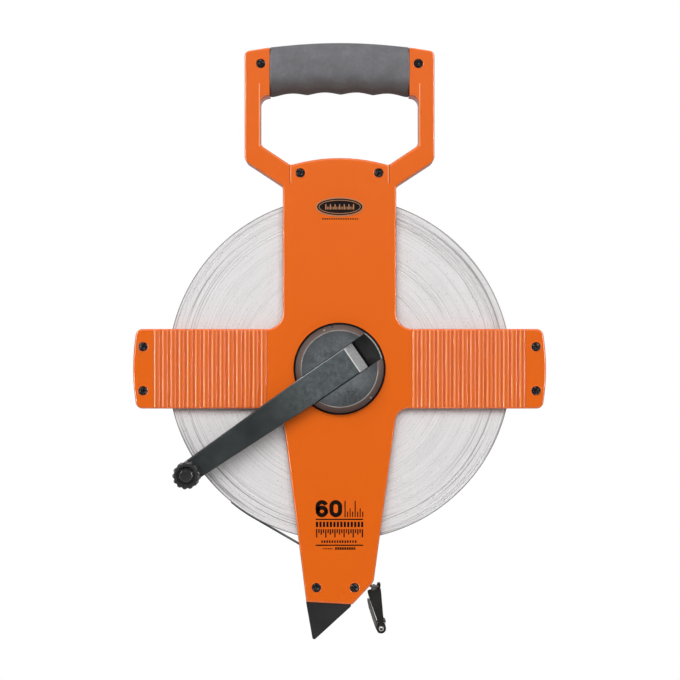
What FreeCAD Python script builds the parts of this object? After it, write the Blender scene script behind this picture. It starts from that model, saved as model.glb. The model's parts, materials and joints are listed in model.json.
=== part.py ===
import FreeCAD, Part

import math
import os

from FreeCAD import Rotation, Vector

# Surveyor's open-reel long tape with a folding crank.
# The model is laid out about the reel's axis: X to the right, Y from front to rear, Z up, in millimetres.
# It is written out with the middle of the hand grip at the origin.

# ---- driving dimensions ----
GRIP_CENTRE_Z = 195.0

BLADE_WIDTH = 12.7
BLADE_THICK = 0.45
ROLL_R = 112.0
DRUM_R = 46.0

SHELL_Y = 12.0              # outer face of each frame shell, from the mid-plane
WALL = 2.4
ROLL_GAP_R = 114.5          # the shells stand clear of the roll inside this radius
ROLL_GAP_Y = 7.6
EDGE_R = 1.4
HAND_EDGE_R = 1.8

ARM_HALF_H = 25.9
ARM_END = 132.0
BODY_HALF_W = 36.9
BODY_TOP_Z = 118.8
HANDLE_HALF_W = 61.75
HAND_HALF_W = 51.5
HAND_TOP_Z = 177.6
GRIP_HALF_L = 45.5
GRIP_Y = 13.5
CORE_Y = 9.8
CORE_LOW_Z, CORE_HIGH_Z = 184.5, 206.0

RIB_COUNT = 14
RIB_FIRST_X = 49.3
RIB_PITCH = 5.34
RIB_WIDTH = 4.3
RIB_HEIGHT = 0.9
RIB_SHOULDER_R = 1.1
REAR_GROOVE_HALF_W = 1.2
GROOVE_DEPTH = 0.6            # between the ribs of the rear shell
STEP_X = 31.9                 # the steps between the body and the handle's legs

SCREWS = [(side * 127.7, end * 14.3) for side in (-1, 1) for end in (-1, 1)]
SCREWS += [(side * 51.2, 198.4) for side in (-1, 1)]
SCREWS += [(side * 25.5, 127.3) for side in (-1, 1)]
FOOT_SCREWS = [(-15.0, -142.3), (9.75, -142.3)]
BOSS_R = 4.2
HEAD_R = 2.9
HEAD_SEAT_Y = 10.3
HEAD_DOME_R = 8.0
SHANK_R = 1.6
SHANK_END_Y = 8.0
TONGUE_Y = 7.0

HUB_R = 28.6
HUB_FACE_R = 24.7
HUB_FACE_Y = 21.0
HUB_BEVEL_Y = 16.5
HUB_SHOULDER_Y = 9.8
HUB_SCREW_AT_R = 12.5
HUB_SCREW_R = 1.5
HUB_SCREW_SEAT_Y = 9.9
CAP_Y = 11.5                # outer face of the rear hub cap
HUB_BACK_Y = 6.8
FRONT_OPENING_R = 30.0
REAR_OPENING_R = 20.0
FRONT_JOURNAL_R = 27.0
REAR_JOURNAL_R = 18.0
RUNNING_FIT = 0.05
FRONT_LIP_Y = 9.4
REAR_LIP_Y = 8.8
RING_BACK_Y = 6.9
RING_FACE_Y = 10.8            # the bearing rings lie below the shells' faces

CRANK_ANGLE = 34.4          # the slot's direction; the arm points the other way
SLOT_WIDTH = 19.6
SLOT_FLOOR_Y = 13.0
ARM_FRONT_Y = 20.8
ARM_BACK_Y = 13.4
ARM_ROOT_W = 18.8
ARM_TAPER_S = -25.0           # where the arm starts to taper
ARM_TIP_W = 13.8
HINGE_S = 11.0              # hinge pin, beyond the reel's axis from the knob
HINGE_Y = 0.5 * (ARM_FRONT_Y + ARM_BACK_Y)
HINGE_R = 1.25
WASHER_THICK = 0.35
ROOT_END_S = 15.9
ROOT_SLOPE_S = 9.7
KNOB_S = -118.9
KNOB_T = -0.7               # the knob stands a little to one side of the arm's middle
KNOB_R = 8.7
KNOB_LOBES = 13
SCALLOP_R = 1.6
SCALLOP_AT_R = 9.5
CAP_R = 5.0
KNOB_FRONT_Y = 45.0
SPINDLE_R = 2.5

BLADE_ANGLE = -30.1         # the free blade's direction, below the horizontal
BLADE_LINE_R = ROLL_R + 0.3 + BLADE_THICK / 2
RUN_END_S = 40.0
TAIL_S = 40.5
CLIP_START_S, CLIP_END_S = 84.0, 88.6
CLIP_HALF_W = 4.2
ROLLER_S = 72.0
ROLLER_R = 2.4
ROLLER_PIN_R = 1.0
ROLLER_HALF_L = 6.9
ROLLER_BOSS_R = 2.5

LINK = (22.5, -143.5)       # the pin that joins the hook to the blade's clip
CLAW = (27.2, -169.6)       # the eyelet pin that the claw turns on
LINK_R = 0.7
BUMPER = (25.6, -141.8)
HOOK_HALF_W = 6.5
EAR_Y = (4.9, 5.9)
CLAW_PIN_R = 1.75
EYELET_R = 1.25
EYELET_HEAD_R = 2.3
EYELET_END_Y = 6.9
COVER_EYE_R = 3.15


# ---- helpers ----
def norm(dx, dz):
    length = math.hypot(dx, dz)
    return dx / length, dz / length


def outline(points):
    """A closed wire in the XZ plane through (x, z, corner radius) points, with its corners rounded."""
    corners = []
    for i, (x, z, r) in enumerate(points):
        px, pz, _ = points[i - 1]
        nx, nz, _ = points[(i + 1) % len(points)]
        ax, az = norm(px - x, pz - z)
        bx, bz = norm(nx - x, nz - z)
        half = 0.5 * math.acos(max(-1.0, min(1.0, ax * bx + az * bz)))
        cx, cz = norm(ax + bx, az + bz)
        back = r / math.tan(half)
        reach = r / math.sin(half)
        start = Vector(x + ax * back, 0, z + az * back)
        middle = Vector(x + cx * (reach - r), 0, z + cz * (reach - r))
        end = Vector(x + bx * back, 0, z + bz * back)
        corners.append((start, middle, end, r))
    edges = []
    for i, (start, middle, end, r) in enumerate(corners):
        if r > 0:
            edges.append(Part.Arc(start, middle, end).toShape())
        following = corners[(i + 1) % len(corners)][0]
        if (following - end).Length > 1e-4:
            edges.append(Part.LineSegment(end, following).toShape())
    return Part.Wire(edges)


def inset(points, distance):
    """The same outline moved inwards; its points run anticlockwise seen from the front."""
    moved = []
    count = len(points)
    for i, (x, z, r) in enumerate(points):
        px, pz, _ = points[i - 1]
        nx, nz, _ = points[(i + 1) % count]
        ux, uz = norm(x - px, z - pz)
        vx, vz = norm(nx - x, nz - z)
        turn = ux * vz - uz * vx
        scale = distance / (1 + ux * vx + uz * vz)
        new_x = x + scale * (-uz - vz)
        new_z = z + scale * (ux + vx)
        new_r = max(r - distance, 0.4) if turn > 0 else r + distance
        moved.append((new_x, new_z, new_r if r > 0 else 0))
    return moved


def prism(points, y0, y1):
    face = Part.Face(outline(points))
    face.translate(Vector(0, y0, 0))
    return face.extrude(Vector(0, y1 - y0, 0))


def post(x, z, r, y0, y1):
    """A cylinder along Y."""
    return Part.makeCylinder(r, y1 - y0, Vector(x, y0, z), Vector(0, 1, 0))


def tube(x, z, r_out, r_in, y0, y1):
    return post(x, z, r_out, y0, y1).cut(post(x, z, r_in, y0 - 1, y1 + 1))


def block(x0, x1, y0, y1, z0, z1):
    return Part.makeBox(x1 - x0, y1 - y0, z1 - z0, Vector(x0, y0, z0))


def fuse(shapes):
    first, *rest = shapes
    return (first.multiFuse(rest) if rest else first).removeSplitter()


def group(shapes):
    """Separate solids kept in one node."""
    return Part.makeCompound(shapes)


def to_rear(shape):
    """The same shape on the other side of the mid-plane."""
    return shape.mirror(Vector(0, 0, 0), Vector(0, 1, 0))


def turned(shape, angle):
    """A shape laid out along X, turned about the reel's axis, anticlockwise seen from the front."""
    copy = shape.copy()
    copy.rotate(Vector(0, 0, 0), Vector(0, -1, 0), angle)
    return copy


def face_edges(shape, y, keep):
    """The edges that lie in the plane at y and whose middle passes keep(x, z)."""
    found = []
    for edge in shape.Edges:
        box = edge.BoundBox
        if abs(box.YMin - y) < 1e-5 and abs(box.YMax - y) < 1e-5:
            middle = edge.valueAt(0.5 * (edge.FirstParameter + edge.LastParameter))
            if keep(middle.x, middle.z):
                found.append(edge)
    return found


def in_hand(x, z):
    """Whether a point is on the edge of the hand opening."""
    return abs(x) < HAND_HALF_W + 0.5 and 132.0 < z < HAND_TOP_Z + 0.5


def blade_point(s, offset=0.0):
    """The point at s along the free blade from where it leaves the roll, offset mm above its middle."""
    angle = math.radians(BLADE_ANGLE)
    radius = offset - BLADE_LINE_R
    x = s * math.cos(angle) - radius * math.sin(angle)
    z = s * math.sin(angle) + radius * math.cos(angle)
    return x, z


def strip(s0, s1, low, high, half_width):
    """A slab along the free blade, from low to high across it."""
    ends = [(s0, low), (s1, low), (s1, high), (s0, high)]
    return prism([(*blade_point(s, offset), 0) for s, offset in ends], -half_width, half_width)


# ---- outlines, anticlockwise seen from the front ----
def frame_outline():
    arm_right = [
        (132.0, -ARM_HALF_H, 4.5),
        (135.9, 0, 140),
        (132.0, ARM_HALF_H, 4.5),
    ]
    upper_right = [
        (BODY_HALF_W, ARM_HALF_H, 10.5),
        (BODY_HALF_W, BODY_TOP_Z, 4),
        (HANDLE_HALF_W, 135.1, 6),
        (HANDLE_HALF_W, 206.4, 3.6),
        (0, 216.5, 340),
    ]
    foot = [
        (-21.65, -151.7, 1.0),
        (8.4, -153.4, 2.5),
        (22.2, -138.6, 5.0),
        (37.5, -ARM_HALF_H, 8.5),
    ]
    arm_left = [(-x, z, r) for x, z, r in reversed(arm_right)]
    upper_left = [(-x, z, r) for x, z, r in reversed(upper_right[:-1])]
    return arm_right + upper_right + upper_left + arm_left + [(-37.5, -ARM_HALF_H, 8.5)] + foot


def hand_outline():
    right = [
        (31.9, 132.5, 3),
        (HAND_HALF_W, 145.5, 5.5),
        (HAND_HALF_W, HAND_TOP_Z, 5.5),
    ]
    return right + [(-x, z, r) for x, z, r in reversed(right)] + [(0, 141.1, 112)]


def arm_outline(side):
    """The ribbed part of one arm, with its end."""
    points = [
        (40, -ARM_HALF_H, 0),
        (132.0, -ARM_HALF_H, 4.5),
        (135.9, 0, 140),
        (132.0, ARM_HALF_H, 4.5),
        (40, ARM_HALF_H, 0),
    ]
    return points if side > 0 else [(-x, z, r) for x, z, r in reversed(points)]


def grip_outline():
    """Four shallow finger grooves below and a crowned top."""
    ridges = [-43.0, -20.9, 0.8, 21.9, 43.0]
    low = [(-GRIP_HALF_L, 178.6, 1.5)]
    for i, x in enumerate(ridges):
        ridge_z = 178.0 + 1.5 * (1 - (x / 43.0) ** 2)
        low.append((x, ridge_z, 3))
        if i + 1 < len(ridges):
            valley_x = 0.5 * (x + ridges[i + 1])
            valley_z = 179.4 + 1.5 * (1 - (valley_x / 43.0) ** 2)
            low.append((valley_x, valley_z, 30))
    low.append((GRIP_HALF_L, 178.6, 1.5))
    return low + [(GRIP_HALF_L, 209.9, 1.5), (0, 214.5, 340), (-GRIP_HALF_L, 209.9, 1.5)]


# ---- frame ----
def rib_section(x):
    """A flat-topped rib with rounded shoulders, in the XY plane, with its foot inside the arm's wall."""
    half, top, foot = RIB_WIDTH / 2, -SHELL_Y - RIB_HEIGHT, -SHELL_Y + 1
    bend = RIB_SHOULDER_R * (1 - math.cos(math.radians(45)))
    sides = []
    for way in (-1, 1):
        low = Vector(x + way * half, foot, 0)
        start = Vector(x + way * half, top + RIB_SHOULDER_R, 0)
        middle = Vector(x + way * (half - bend), top + bend, 0)
        end = Vector(x + way * (half - RIB_SHOULDER_R), top, 0)
        sides.append((low, start, middle, end))
    edges = [Part.LineSegment(sides[0][k], sides[1][k]).toShape() for k in (0, 3)]
    for low, start, middle, end in sides:
        edges.append(Part.LineSegment(low, start).toShape())
        edges.append(Part.Arc(start, middle, end).toShape())
    return Part.Face(Part.Wire(Part.__sortEdges__(edges)))


def ribs(side):
    """The raised ribs on the front of one arm, cut to the arm's rounded edges."""
    plate = prism(arm_outline(side), -SHELL_Y - RIB_HEIGHT, -SHELL_Y + 2)
    rim = face_edges(plate, -SHELL_Y - RIB_HEIGHT, lambda x, z: abs(x) > 41)
    plate = plate.makeFillet(EDGE_R, rim)
    bars = []
    for i in range(RIB_COUNT):
        section = rib_section(side * (RIB_FIRST_X + i * RIB_PITCH))
        section.translate(Vector(0, 0, -ARM_HALF_H - 1))
        bars.append(section.extrude(Vector(0, 0, 2 * ARM_HALF_H + 2)).common(plate))
    return bars


def grip_core():
    """The hollow bar under the grip, with the bulkheads that join it to the handle's ends."""
    end = GRIP_HALF_L + WALL
    bar = block(-end, end, -CORE_Y, 0, CORE_LOW_Z, CORE_HIGH_Z)
    inside = block(-end - 1, end + 1, -CORE_Y + WALL, 0, CORE_LOW_Z + WALL, CORE_HIGH_Z - WALL)
    bulkheads = []
    for side in (-1, 1):
        x0, x1 = sorted((side * GRIP_HALF_L, side * end))
        bulkheads.append(block(x0, x1, -SHELL_Y + 1, 0, 179.0, 207.0))
    return fuse([bar] + bulkheads).cut(inside)


def half_shell():
    """The moulding that both halves of the frame share, as its front half without openings or ribs."""
    outer = prism(frame_outline(), -SHELL_Y, 0).cut(prism(hand_outline(), -SHELL_Y - 1, 1))
    hand_rim = face_edges(outer, -SHELL_Y, in_hand)
    outer = outer.makeFillet(HAND_EDGE_R, hand_rim)
    rim = face_edges(outer, -SHELL_Y, lambda x, z: not in_hand(x, z))
    rim = [edge for edge in rim if not near_hand(edge)]
    outer = outer.makeFillet(EDGE_R, rim)
    pocket = prism(inset(frame_outline(), WALL), -SHELL_Y + WALL + 0.1, 1)
    pocket = pocket.cut(prism(inset(hand_outline(), -WALL), -SHELL_Y - 1, 2))
    shell = outer.cut(pocket)
    grip_zone = block(-GRIP_HALF_L, GRIP_HALF_L, -SHELL_Y - 1, 1, 170, 220)
    shell = fuse([shell.cut(grip_zone), grip_core()])
    bosses = [post(x, z, BOSS_R, -SHELL_Y + WALL, 0) for x, z in SCREWS + FOOT_SCREWS]
    for offset in (-1, 1):
        x, z = roller_centre(offset)
        bosses.append(post(x, z, ROLLER_BOSS_R, -SHELL_Y + WALL, -ROLLER_HALF_L - 0.4))
    shell = fuse([shell] + bosses)
    shell = shell.cut(post(0, 0, ROLL_GAP_R, -ROLL_GAP_Y, 1))
    shell = shell.cut(strip(30, 100, -1.5, 1.5, BLADE_WIDTH / 2 + 0.6))
    shell = shell.cut(spike_tongue().common(block(-40, 40, -20, 20, -160, -148)))
    for offset in (-1, 1):
        x, z = roller_centre(offset)
        shell = shell.cut(post(x, z, ROLLER_PIN_R, -SHELL_Y + 1.2, 0))
    return shell


def near_hand(edge):
    """Whether an edge belongs to the rounded rim of the hand opening."""
    box = edge.BoundBox
    inside_x = box.XMax < HAND_HALF_W + 3 and box.XMin > -HAND_HALF_W - 3
    return inside_x and box.ZMin > 129 and box.ZMax < HAND_TOP_Z + 3


def roller_centre(offset):
    """The centre of the guide roller above (1) or below (-1) the blade."""
    return blade_point(ROLLER_S, offset * (BLADE_THICK / 2 + 0.3 + ROLLER_R))


def front_frame_shell():
    shell = half_shell().cut(post(0, 0, FRONT_OPENING_R, -SHELL_Y - 1, 1))
    for x, z in SCREWS + FOOT_SCREWS:
        shell = shell.cut(post(x, z, HEAD_R + 0.15, -SHELL_Y - 1, -HEAD_SEAT_Y))
        shell = shell.cut(post(x, z, SHANK_R + 0.2, -SHELL_Y, 1))
    shell = shell.cut(badge_plate(-SHELL_Y - 1, -SHELL_Y + 0.6))
    for side in (-1, 1):
        x = side * STEP_X
        shell = shell.cut(block(x - 0.4, x + 0.4, -SHELL_Y - 1, -SHELL_Y + 0.8, 120.4, 131.2))
    return fuse([shell] + ribs(-1) + ribs(1))


def rear_frame_shell():
    shell = to_rear(half_shell()).cut(post(0, 0, REAR_OPENING_R, -1, SHELL_Y + 1))
    for x, z in SCREWS + FOOT_SCREWS:
        shell = shell.cut(post(x, z, SHANK_R, -1, SHANK_END_Y + 0.3))
    grooves = []
    for side in (-1, 1):
        for i in range(RIB_COUNT):
            x = side * (RIB_FIRST_X + i * RIB_PITCH)
            x0, x1 = x - REAR_GROOVE_HALF_W, x + REAR_GROOVE_HALF_W
            grooves.append(block(x0, x1, SHELL_Y - GROOVE_DEPTH, SHELL_Y + 1, -22.5, 22.5))
    return shell.cut(group(grooves))


def grip_half():
    """The front half of the rubber grip."""
    body = prism(grip_outline(), -GRIP_Y, 0)
    section = [(-GRIP_Y, 176.0, 9), (GRIP_Y, 176.0, 9), (GRIP_Y, 214.0, 9), (-GRIP_Y, 214.0, 9)]
    rounded = prism(section, -60, 60)
    rounded.rotate(Vector(0, 0, 0), Vector(0, 0, 1), 90)
    core = block(-60, 60, -CORE_Y, 1, CORE_LOW_Z, CORE_HIGH_Z)
    return body.common(rounded).cut(core)


def badge_plate(y0, y1):
    ellipse = Part.Ellipse(Vector(0, 0, 0), 15.6, 6.3).toShape()
    face = Part.Face(Part.Wire([ellipse]))
    face.rotate(Vector(0, 0, 0), Vector(1, 0, 0), 90)
    face.translate(Vector(0.1, y0, 105.2))
    return face.extrude(Vector(0, y1 - y0, 0))


def frame_screw(x, z):
    head = post(x, z, HEAD_R, -SHELL_Y + 0.2, -HEAD_SEAT_Y)
    head = head.common(Part.makeSphere(HEAD_DOME_R, Vector(x, -SHELL_Y + 0.2 + HEAD_DOME_R, z)))
    screw = fuse([head, post(x, z, SHANK_R, -HEAD_SEAT_Y - 0.1, SHANK_END_Y)])
    across = block(x - 1.8, x + 1.8, -SHELL_Y - 1, -SHELL_Y + 1.1, z - 0.4, z + 0.4)
    upright = block(x - 0.4, x + 0.4, -SHELL_Y - 1, -SHELL_Y + 1.1, z - 1.8, z + 1.8)
    return screw.cut(fuse([across, upright]))


def ground_spike():
    """A pointed foot, as deep as the frame at its top, with a tongue that the left foot screw holds."""
    point = prism([(-21.75, -151.9, 0), (-17.4, -178.3, 1.3), (8.3, -153.7, 0.6)], -11.4, 11.4)
    front_side = [(-11.0, -150.0, 0), (-11.0, -155.0, 0), (-2.6, -177.5, 0)]
    side = front_side + [(-y, z, r) for y, z, r in reversed(front_side)]
    wedge = prism(side, -40, 40)
    wedge.rotate(Vector(0, 0, 0), Vector(0, 0, 1), 90)
    tip = point.common(wedge).cut(prism(frame_outline(), -20, 20))
    tongue = spike_tongue().cut(post(*FOOT_SCREWS[0], BOSS_R, -8, 8))
    return fuse([tip, tongue])


def spike_tongue():
    corners = [(-18.6, -153.0, 0), (4.6, -153.6, 0), (4.6, -147.6, 2), (-2.0, -138.5, 2), (-18.6, -137.0, 2)]
    return prism(corners, -TONGUE_Y, TONGUE_Y)


def bearing_ring(bore_r, face_r, opening_r, lip_y):
    """A bearing ring for the rear shell: its flange sits behind the shell's wall."""
    body = tube(0, 0, opening_r, bore_r, RING_BACK_Y, RING_FACE_Y)
    flange = tube(0, 0, opening_r + 3, bore_r, ROLL_GAP_Y, SHELL_Y - WALL - 0.1)
    mouth = post(0, 0, face_r, lip_y, RING_FACE_Y + 1)
    return fuse([body, flange]).cut(mouth)


def front_bearing_ring():
    ring = bearing_ring(FRONT_JOURNAL_R + RUNNING_FIT, HUB_R + 0.3, FRONT_OPENING_R, FRONT_LIP_Y)
    return to_rear(ring)


def rear_bearing_ring():
    return bearing_ring(REAR_JOURNAL_R + RUNNING_FIT, 18.9, REAR_OPENING_R, REAR_LIP_Y)


def roller_pins():
    return group([post(*roller_centre(k), ROLLER_PIN_R, -SHELL_Y + 1.3, SHELL_Y - 1.3) for k in (-1, 1)])


def guide_roller(offset):
    x, z = roller_centre(offset)
    return tube(x, z, ROLLER_R, ROLLER_PIN_R + RUNNING_FIT, -ROLLER_HALF_L, ROLLER_HALF_L)


def blade_run():
    """The blade between the roll and the inside of the leg."""
    return strip(0, RUN_END_S, -BLADE_THICK / 2, BLADE_THICK / 2, BLADE_WIDTH / 2)


# ---- spool ----
def spool_drum():
    rim = tube(0, 0, DRUM_R, DRUM_R - 2.3, -BLADE_WIDTH / 2, BLADE_WIDTH / 2)
    web = post(0, 0, DRUM_R - 1, -1.5, 1.5)
    front = post(0, 0, FRONT_JOURNAL_R - 0.5, -HUB_BACK_Y, 0)
    rear = post(0, 0, REAR_JOURNAL_R, 0, REAR_LIP_Y + 0.3)
    drum = fuse([rim, web, front, rear])
    holes = [turned(post(35.0, 0, 5.5, -2, 2), 30 + 60 * i) for i in range(6)]
    holes.append(anchor_post(1.2, DRUM_R - 3, DRUM_R + 1))
    holes += [post(*at, HUB_SCREW_R, -20, 20) for at in hub_screw_places()]
    return drum.cut(group(holes))


def anchor_post(r, start, end):
    """A cylinder out from the reel's axis, between the drum's web and its edge."""
    angle = math.radians(150)
    out = Vector(math.cos(angle), 0, math.sin(angle))
    return Part.makeCylinder(r, end - start, out * start + Vector(0, 3.95, 0), out)


def blade_anchor():
    """The rivet that holds the blade's inner end to the drum."""
    return fuse([anchor_post(1.2, DRUM_R - 4.0, DRUM_R - 0.3), anchor_post(2.2, DRUM_R - 4.2, DRUM_R - 2.9)])


def blade_roll():
    return tube(0, 0, ROLL_R, DRUM_R, -BLADE_WIDTH / 2, BLADE_WIDTH / 2)


def hub_screw_places():
    angles = [math.radians(CRANK_ANGLE + 60 + 120 * i) for i in range(3)]
    return [(HUB_SCREW_AT_R * math.cos(a), HUB_SCREW_AT_R * math.sin(a)) for a in angles]


def hub_screws():
    screws = []
    for x, z in hub_screw_places():
        head = post(x, z, HEAD_R, HUB_SCREW_SEAT_Y, CAP_Y - 0.2)
        screw = fuse([head, post(x, z, HUB_SCREW_R, -HUB_SHOULDER_Y + 1, HUB_SCREW_SEAT_Y + 0.1)])
        across = block(x - 1.8, x + 1.8, 10.3, 12, z - 0.4, z + 0.4)
        upright = block(x - 0.4, x + 0.4, 10.3, 12, z - 1.8, z + 1.8)
        screws.append(screw.cut(fuse([across, upright])))
    return group(screws)


def rear_hub_cap():
    cap = post(0, 0, 18.6, REAR_LIP_Y + 0.3, CAP_Y)
    cap = cap.makeFillet(0.8, face_edges(cap, CAP_Y, lambda x, z: True))
    for x, z in hub_screw_places():
        cap = cap.cut(post(x, z, HEAD_R + 0.15, HUB_SCREW_SEAT_Y, 13)).cut(post(x, z, HUB_SCREW_R, 8, 11))
    return cap


def crank_hub():
    """The turning hub: a bevelled disc with a slot across it for the crank arm."""
    disc = post(0, 0, HUB_R, -HUB_BEVEL_Y, -HUB_SHOULDER_Y)
    bevel_h = HUB_FACE_Y - HUB_BEVEL_Y
    bevel = Part.makeCone(HUB_R, HUB_FACE_R, bevel_h, Vector(0, -HUB_BEVEL_Y, 0), Vector(0, -1, 0))
    journal = post(0, 0, FRONT_JOURNAL_R, -HUB_SHOULDER_Y, -HUB_BACK_Y)
    hub = fuse([disc, bevel, journal])
    half = SLOT_WIDTH / 2
    slot = block(-40, 40, -HUB_FACE_Y - 1, -SLOT_FLOOR_Y, -half, half)
    well = [(4.4, -half, 0.5), (17.6, -half, 0.5), (17.6, half, 0.5), (4.4, half, 0.5)]
    recess = prism(well, -HUB_FACE_Y, -10.2)
    pin_hole = Part.makeCylinder(HINGE_R, 45, Vector(HINGE_S, -HINGE_Y, -15), Vector(0, 0, 1))
    hub = hub.cut(turned(fuse([slot, recess]), CRANK_ANGLE)).cut(turned(pin_hole, CRANK_ANGLE))
    return hub.cut(group([post(*at, HUB_SCREW_R, -HUB_SHOULDER_Y + 1, 0) for at in hub_screw_places()]))


def crank_hinge_pin():
    pin = Part.makeCylinder(HINGE_R, 34, Vector(HINGE_S, -HINGE_Y, -15), Vector(0, 0, 1))
    return turned(pin, CRANK_ANGLE)


def hinge_washers():
    washers = []
    for side in (-1, 1):
        start = Vector(HINGE_S, -HINGE_Y, side * SLOT_WIDTH / 2)
        outer = Part.makeCylinder(3.0, WASHER_THICK, start, Vector(0, 0, -side))
        inner = Part.makeCylinder(HINGE_R, 1, start, Vector(0, 0, -side))
        washers.append(turned(outer.cut(inner), CRANK_ANGLE))
    return group(washers)


# ---- crank ----
def crank_arm():
    """A tapered bar, hinged near its root, whose root end slopes so that it can fold right over."""
    root, tip = ARM_ROOT_W / 2, ARM_TIP_W / 2
    plan = [
        (KNOB_S - tip, -tip, tip - 0.2),
        (ARM_TAPER_S, -root, 0),
        (ROOT_END_S, -root, 0.8),
        (ROOT_END_S, root, 0.8),
        (ARM_TAPER_S, root, 0),
        (KNOB_S - tip, tip, tip - 0.2),
    ]
    bar = prism(plan, -ARM_FRONT_Y, -ARM_BACK_Y)
    long_edges = face_edges(bar, -ARM_FRONT_Y, lambda x, z: x < ROOT_SLOPE_S - 8)
    long_edges += face_edges(bar, -ARM_BACK_Y, lambda x, z: x < ROOT_SLOPE_S - 8)
    bar = bar.makeFillet(1.0, long_edges)
    slope = [
        Vector(ROOT_SLOPE_S, -ARM_FRONT_Y - 0.01, -20),
        Vector(ROOT_END_S + 3, -ARM_FRONT_Y - 0.01, -20),
        Vector(ROOT_END_S + 3, -ARM_BACK_Y - 1.2, -20),
        Vector(ROOT_END_S, -ARM_BACK_Y - 1.2, -20),
    ]
    wedge = Part.Face(Part.makePolygon(slope + slope[:1])).extrude(Vector(0, 0, 40))
    bore = Part.makeCylinder(HINGE_R + RUNNING_FIT, 40, Vector(HINGE_S, -HINGE_Y, -20), Vector(0, 0, 1))
    bar = bar.cut(wedge).cut(bore)
    bar = bar.cut(post(KNOB_S, KNOB_T, SPINDLE_R, -30, 0))
    bar = bar.cut(post(KNOB_S, KNOB_T, 4.2, -ARM_BACK_Y - 1.5, 0))
    return turned(bar, CRANK_ANGLE)


def knob_spindle():
    """A rivet with a head at each end; the knob turns on its shank."""
    shank = post(KNOB_S, KNOB_T, SPINDLE_R, -43.0, -ARM_BACK_Y - 0.3)
    back_head = post(KNOB_S, KNOB_T, 4.2, -ARM_BACK_Y - 1.5, -ARM_BACK_Y - 0.2)
    front_head = post(KNOB_S, KNOB_T, 4.0, -43.4, -42.3)
    return turned(fuse([shank, back_head, front_head]), CRANK_ANGLE)


def crank_knob():
    body = post(KNOB_S, KNOB_T, KNOB_R, -KNOB_FRONT_Y, -ARM_FRONT_Y - 0.4)
    ends = face_edges(body, -KNOB_FRONT_Y, lambda x, z: True)
    ends += face_edges(body, -ARM_FRONT_Y - 0.4, lambda x, z: True)
    body = body.makeFillet(1.2, ends)
    scallops = []
    for i in range(KNOB_LOBES):
        angle = 2 * math.pi * i / KNOB_LOBES
        x, z = KNOB_S + SCALLOP_AT_R * math.cos(angle), KNOB_T + SCALLOP_AT_R * math.sin(angle)
        scallops.append(post(x, z, SCALLOP_R, -50, -20))
    body = body.cut(group(scallops))
    body = body.cut(post(KNOB_S, KNOB_T, SPINDLE_R + RUNNING_FIT, -50, -20))
    body = body.cut(post(KNOB_S, KNOB_T, CAP_R, -50, -42.0))
    return turned(body, CRANK_ANGLE)


def knob_cap():
    cap = post(KNOB_S, KNOB_T, CAP_R, -KNOB_FRONT_Y + 0.1, -43.8)
    cap = cap.makeFillet(0.4, face_edges(cap, -KNOB_FRONT_Y + 0.1, lambda x, z: True))
    return turned(cap, CRANK_ANGLE)


# ---- blade end and hook ----
def blade_end():
    """The moving end of the blade, from inside the leg to its clip at the mouth."""
    return strip(TAIL_S, CLIP_END_S - 0.6, -BLADE_THICK / 2, BLADE_THICK / 2, BLADE_WIDTH / 2)


def bar_between(a, b, half, y0, y1):
    """A flat bar from a to b in the XZ plane, half wide each side."""
    dx, dz = norm(b[0] - a[0], b[1] - a[1])
    corners = [(a[0] + dz * half, a[1] - dx * half), (b[0] + dz * half, b[1] - dx * half)]
    corners += [(b[0] - dz * half, b[1] + dx * half), (a[0] - dz * half, a[1] + dx * half)]
    return prism([(x, z, 0) for x, z in corners], y0, y1)


def blade_clip():
    """A folded steel clip on the blade's end, with the barrel for the link pin and a tab for the bumper."""
    sleeve = strip(CLIP_START_S, CLIP_END_S, -0.75, 0.75, BLADE_WIDTH / 2)
    neck = bar_between(blade_point(CLIP_END_S - 1.1), LINK, 0.7, -CLIP_HALF_W, CLIP_HALF_W)
    barrel = post(*LINK, 1.35, -CLIP_HALF_W, CLIP_HALF_W)
    tab = bar_between(LINK, BUMPER, 0.5, -CLIP_HALF_W, CLIP_HALF_W)
    clip = fuse([sleeve, neck, barrel, tab])
    return clip.cut(post(*LINK, LINK_R + RUNNING_FIT, -5, 5)).cut(blade_end())


def end_bumper():
    x, z = BUMPER
    low = [(x - 1.3, z - 1.5, 0.7), (x + 1.1, z - 1.5, 0.7)]
    high = [(x + 1.3, z + 1.5, 0.9), (x - 0.9, z + 1.5, 0.9)]
    return prism(low + high, -CLIP_HALF_W, CLIP_HALF_W).cut(blade_clip())


def hook_profile():
    return [
        (18.2, -145.9, 0.6),
        (19.9, -151.1, 8),
        (25.3, -166.3, 0),
        (29.0, -166.7, 0),
        (28.6, -162.5, 8),
        (27.1, -144.6, 1.0),
        (25.6, -143.7, 1.0),
    ]


def hook_frame():
    """The hook's steel strap: two ears for the link pin, a web between them and a round tab at the rear."""
    ears = []
    for side in (-1, 1):
        y0, y1 = sorted((side * EAR_Y[0], side * EAR_Y[1]))
        head = post(*LINK, 1.7, y0, y1)
        flare = [
            (LINK[0] - 1.6, LINK[1] + 0.3, 0),
            (20.3, -149.1, 0),
            (26.3, -150.6, 0),
            (LINK[0] + 1.65, LINK[1] + 0.3, 0),
        ]
        ears.append(fuse([head, prism(flare, y0, y1)]))
    web = bar_between((22.8, -148.6), (26.3, -164.2), 0.5, -EAR_Y[1], EAR_Y[1])
    rear_strap = bar_between((23.3, -148.6), (26.5, -165.6), 1.6, EAR_Y[0], EAR_Y[1])
    rear_tab = post(27.4, -166.2, 3.0, EAR_Y[0], EAR_Y[1])
    frame = fuse(ears + [web, rear_strap, rear_tab])
    return frame.cut(post(*LINK, LINK_R, -8, 8)).cut(post(*CLAW, COVER_EYE_R + 0.25, -8, 8))


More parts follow.
